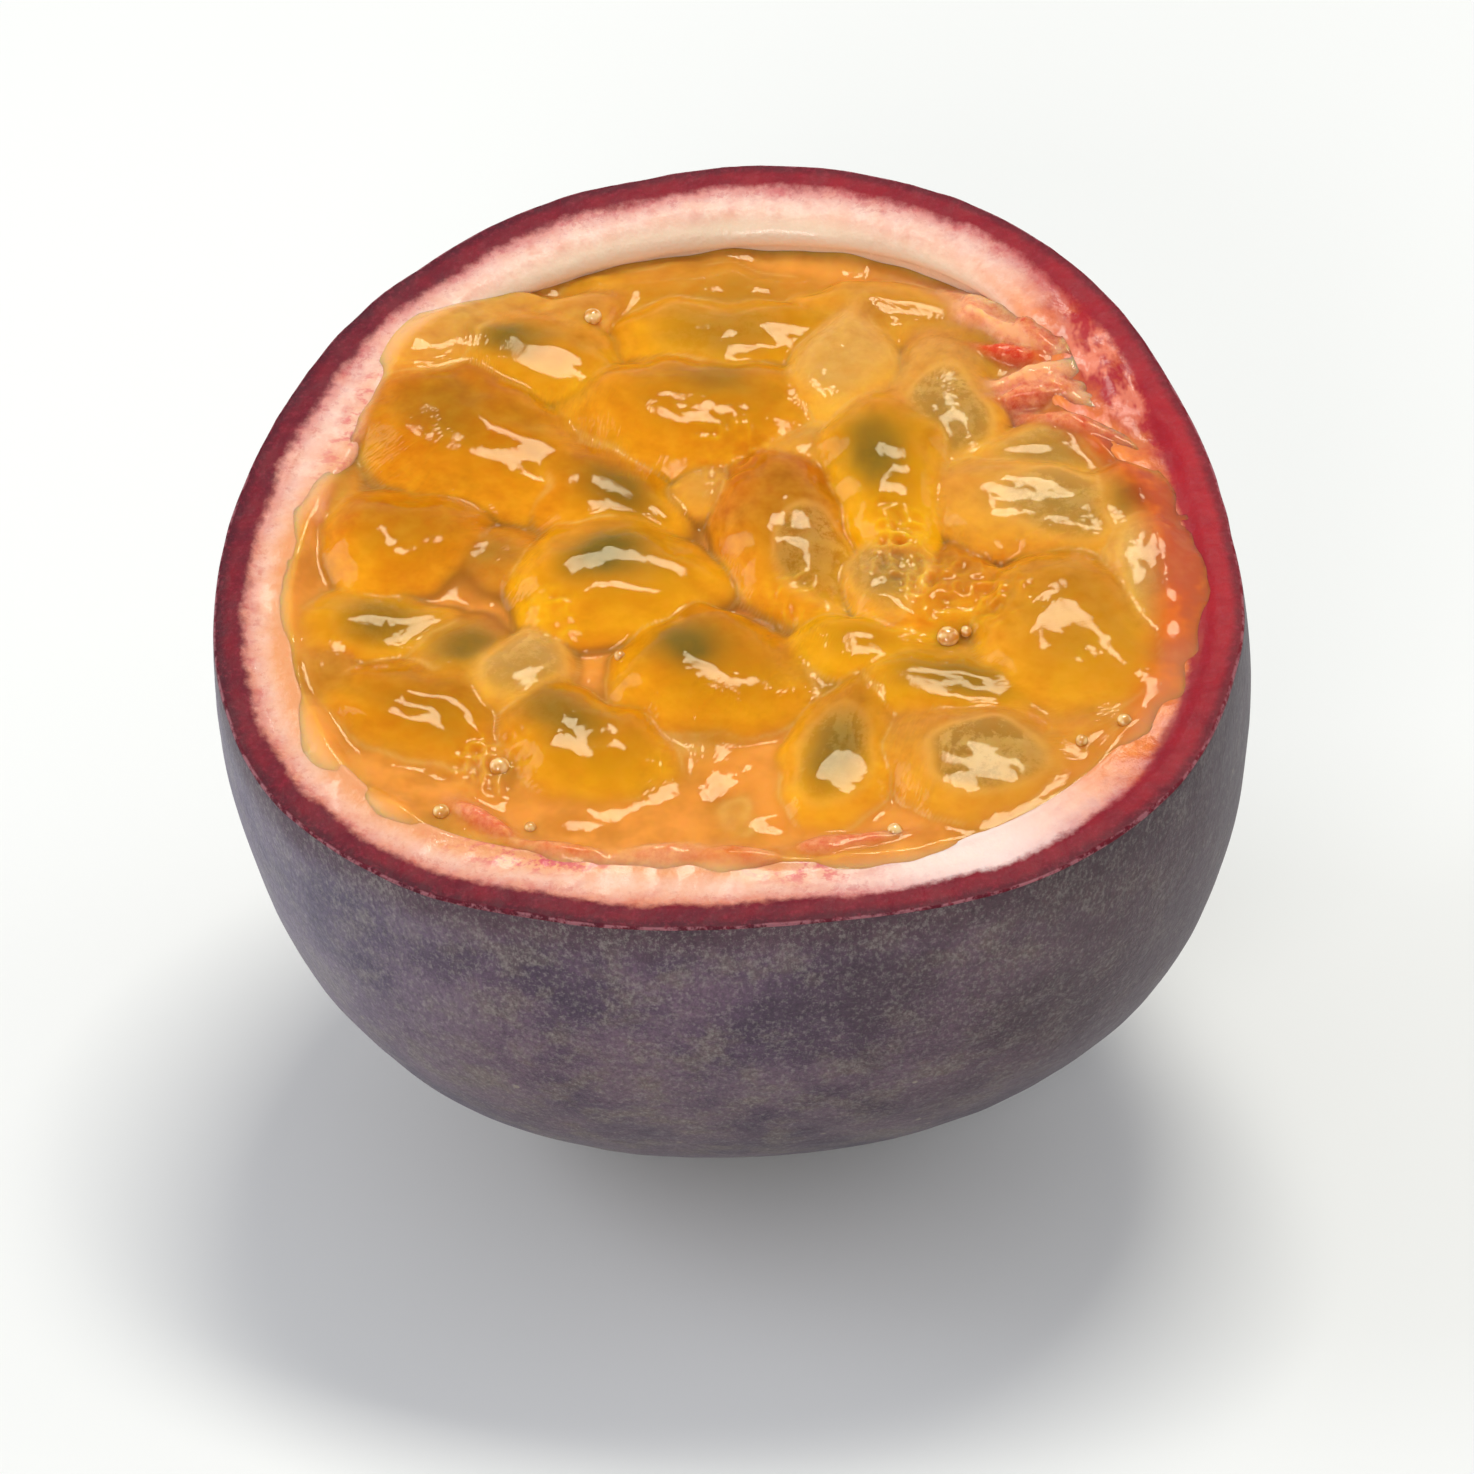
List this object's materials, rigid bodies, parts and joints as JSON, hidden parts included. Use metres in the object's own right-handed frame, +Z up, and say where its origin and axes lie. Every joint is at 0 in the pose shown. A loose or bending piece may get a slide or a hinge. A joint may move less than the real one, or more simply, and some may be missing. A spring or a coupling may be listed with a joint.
{
  "type": "passion fruit half",
  "caption": "Half of a purple passion fruit, cut side up: leathery purple rind with a red and white edge, filled with orange pulp sacs around dark seeds.",
  "frame": {"origin": "middle of the small flat spot that the half rests on, at the table", "axes": "+Z up; the cut faces up and leans 15 degrees towards -Y, which is the side the picture looks from, and about 3 degrees towards -X"},
  "size_m": [0.0564, 0.0565, 0.045],
  "materials": {
    "rind": "waxy satin purple skin; the cut shows a crimson layer and pinkish white pith",
    "pulp": "wet, glossy, translucent orange yellow",
    "stem_scar": "dry, matt, tan",
    "seed": "hard, dark, finely pitted"
  },
  "bodies": {
    "root": {"rind": "rind", "pulp": "pulp", "stem_scar": "stem_scar", "seed_01": "seed", "seed_02": "seed", "seed_03": "seed", "seed_04": "seed", "seed_05": "seed", "seed_06": "seed", "seed_07": "seed", "seed_08": "seed", "seed_09": "seed", "seed_10": "seed", "seed_11": "seed", "seed_12": "seed", "seed_13": "seed"}
  },
  "joints": []
}
